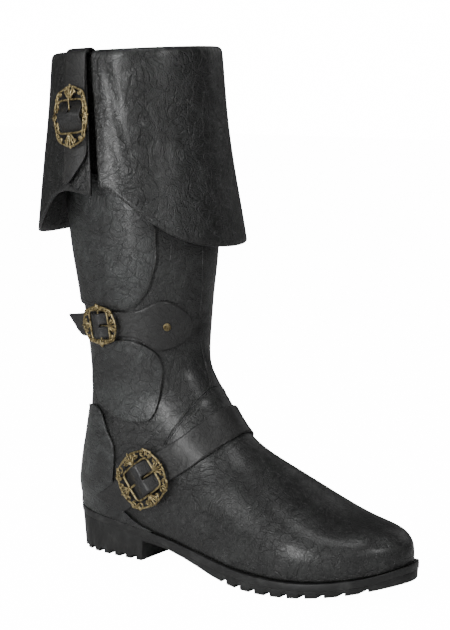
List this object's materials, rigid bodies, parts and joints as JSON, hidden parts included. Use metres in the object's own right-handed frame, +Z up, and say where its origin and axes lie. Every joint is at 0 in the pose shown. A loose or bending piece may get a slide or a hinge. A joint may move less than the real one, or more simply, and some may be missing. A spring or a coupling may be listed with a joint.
{
  "type": "cuffed buckle boot",
  "caption": "Tall right boot with a turned-down flared cuff, buckled straps round cuff, calf and instep, panelled shaft, stacked heel and lugged sole.",
  "frame": {"origin": "centre of the heel's flat on the floor", "axes": "+X from heel to toe, -Y to the outer side of the foot, +Z up the shaft"},
  "size_m": [0.333, 0.1497, 0.3992],
  "materials": {
    "black_leather": "worn satin, crackled grain",
    "cuff_leather": "worn satin with rubbed highlights",
    "panel_leather": "worn satin, crackled grain",
    "strap_leather": "satin",
    "sole_rubber": "matte",
    "welt_rubber": "semi-matte",
    "insole_board": "matte",
    "antique_brass": "antiqued, dark in the recesses"
  },
  "bodies": {
    "root": {"outsole": "sole_rubber", "midsole": "welt_rubber", "insole": "insole_board", "upper": "black_leather", "cuff": "cuff_leather", "heel_counter": "panel_leather", "calf_panel_upper": "panel_leather", "calf_panel_lower": "panel_leather", "calf_strap": "strap_leather", "ankle_strap": "strap_leather", "cuff_strap": "strap_leather", "cuff_buckle": "antique_brass", "calf_buckle": "antique_brass", "ankle_buckle": "antique_brass", "cuff_prong": "antique_brass", "calf_prong": "antique_brass", "ankle_prong": "antique_brass", "strap_rivet": "antique_brass"}
  },
  "joints": []
}
